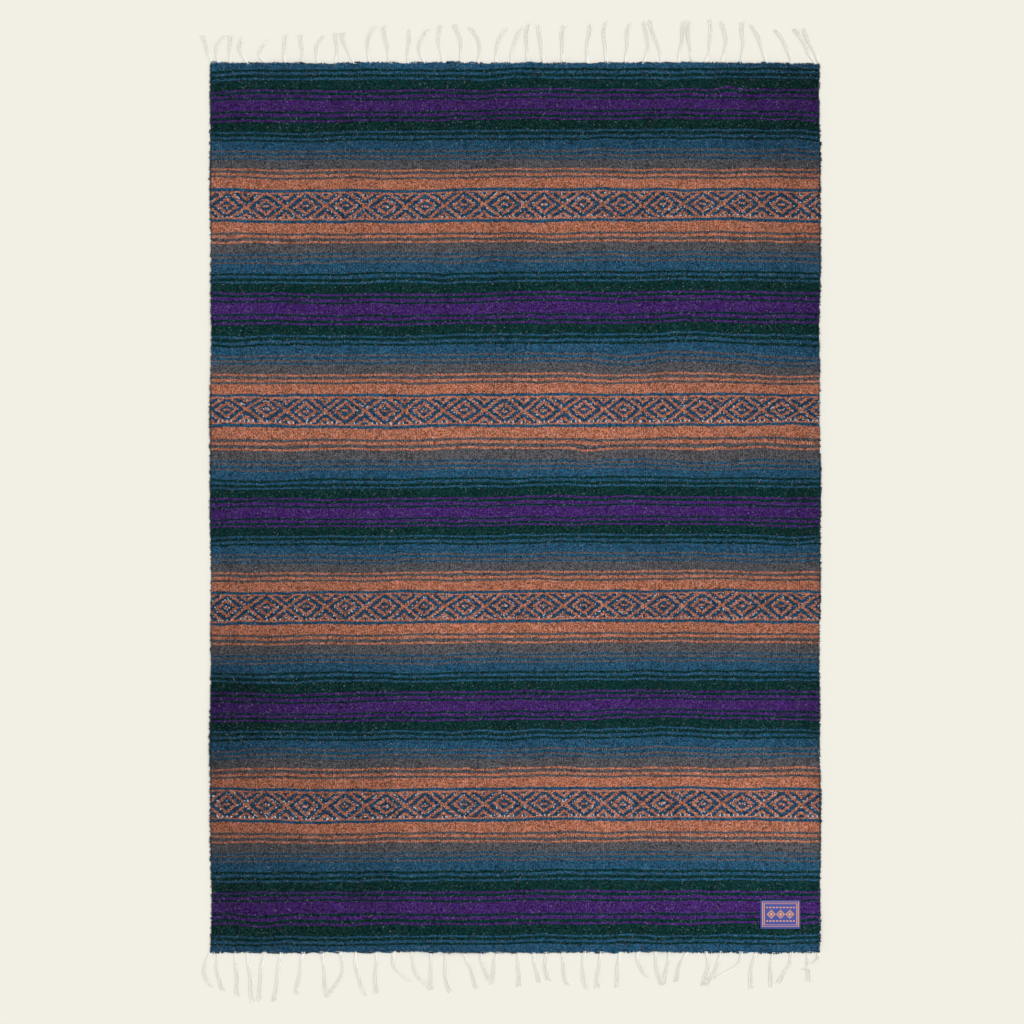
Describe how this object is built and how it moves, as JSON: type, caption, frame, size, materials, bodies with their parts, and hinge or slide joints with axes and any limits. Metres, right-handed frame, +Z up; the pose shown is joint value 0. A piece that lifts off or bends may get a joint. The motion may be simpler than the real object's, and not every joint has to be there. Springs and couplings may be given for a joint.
{
  "type": "mexican serape blanket laid flat",
  "caption": "Flat striped serape blanket with rows of woven diamonds, a warp fringe at both ends and a small sewn label.",
  "frame": {"origin": "on the floor, under the middle of the whole outline, fringe included", "axes": "+Z up, out of the face with the label; +Y along the warp, away from the label's end; +X along the weft stripes, towards the label's side"},
  "size_m": [1.3218, 2.0952, 0.0057],
  "materials": {
    "cloth": "matte, heathered weft-faced weave in stripes of purple, green, blue, grey and orange",
    "fringe": "natural cotton warp, loosely twisted, frayed at the tips",
    "label": "smooth woven label in blue and tan"
  },
  "bodies": {
    "root": {"woven_panel": "cloth", "fringe_top": "fringe", "fringe_bottom": "fringe", "label": "label"}
  },
  "joints": []
}
